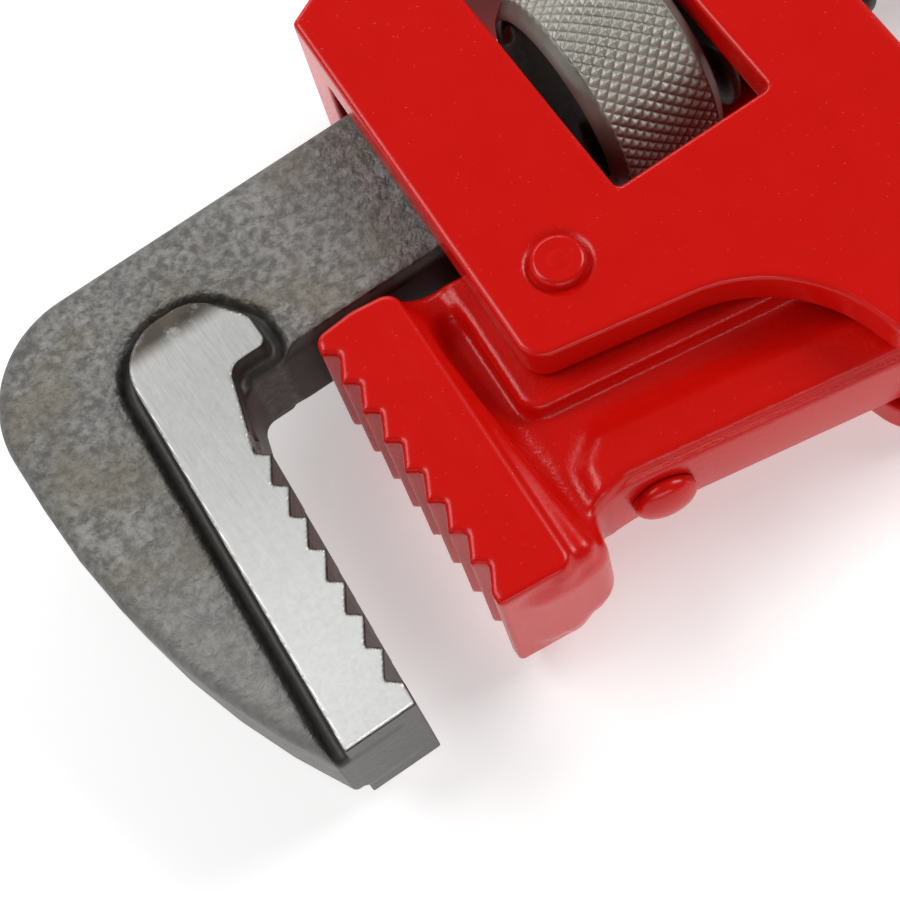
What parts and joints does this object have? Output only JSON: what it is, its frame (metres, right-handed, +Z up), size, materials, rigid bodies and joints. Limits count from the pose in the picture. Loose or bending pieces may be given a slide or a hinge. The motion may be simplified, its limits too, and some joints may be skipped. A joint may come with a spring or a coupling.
{
  "type": "pipe wrench",
  "caption": "Stillson-pattern pipe wrench with a pivoted housing, toothed heel and hook jaws, a knurled nut that drives the hook jaw, and an I-section handle with a hanging slot.",
  "frame": {"origin": "bottom centre of the bounding box, with the wrench lying flat on its side", "axes": "+X along the handle from the jaws to the hanging slot, +Y from the handle to the back of the housing, +Z up through the thickness"},
  "size_m": [0.3516, 0.0936, 0.0285],
  "materials": {
    "red_paint": "satin gloss",
    "jaw_steel": "rough forged, ground on the tooth block",
    "nut_steel": "diamond knurled",
    "spring_steel": "blued"
  },
  "bodies": {
    "handle": {"handle": "red_paint", "handle_leaf_spring": "spring_steel", "handle_spring_rivet": "red_paint"},
    "housing": {"housing": "red_paint", "pivot_rivet": "red_paint", "housing_leaf_spring": "spring_steel", "housing_spring_rivet": "red_paint"},
    "hook_jaw": {"hook_jaw": "jaw_steel"},
    "adjusting_nut": {"adjusting_nut": "nut_steel"}
  },
  "joints": [
    {"name": "housing_rock", "type": "hinge", "parent": "handle", "child": "housing", "pos_m": [-0.11085, -0.00732, 0.01425], "axis": [0, 0, 1], "range_deg": [-2, 2], "stiffness_Nm_per_rad": 20},
    {"name": "jaw_slide", "type": "slide", "parent": "housing", "child": "hook_jaw", "axis": [-0.9848, -0.1736, 0], "range_m": [-0.01, 0.039]},
    {"name": "nut_spin", "type": "hinge", "parent": "housing", "child": "adjusting_nut", "pos_m": [-0.09352, 0.01939, 0.01425], "axis": [0.9848, 0.1736, 0], "continuous": true}
  ],
  "couplings": [
    {"joint": "nut_spin", "follows": "jaw_slide", "rad_per_m": 1570.8}
  ]
}
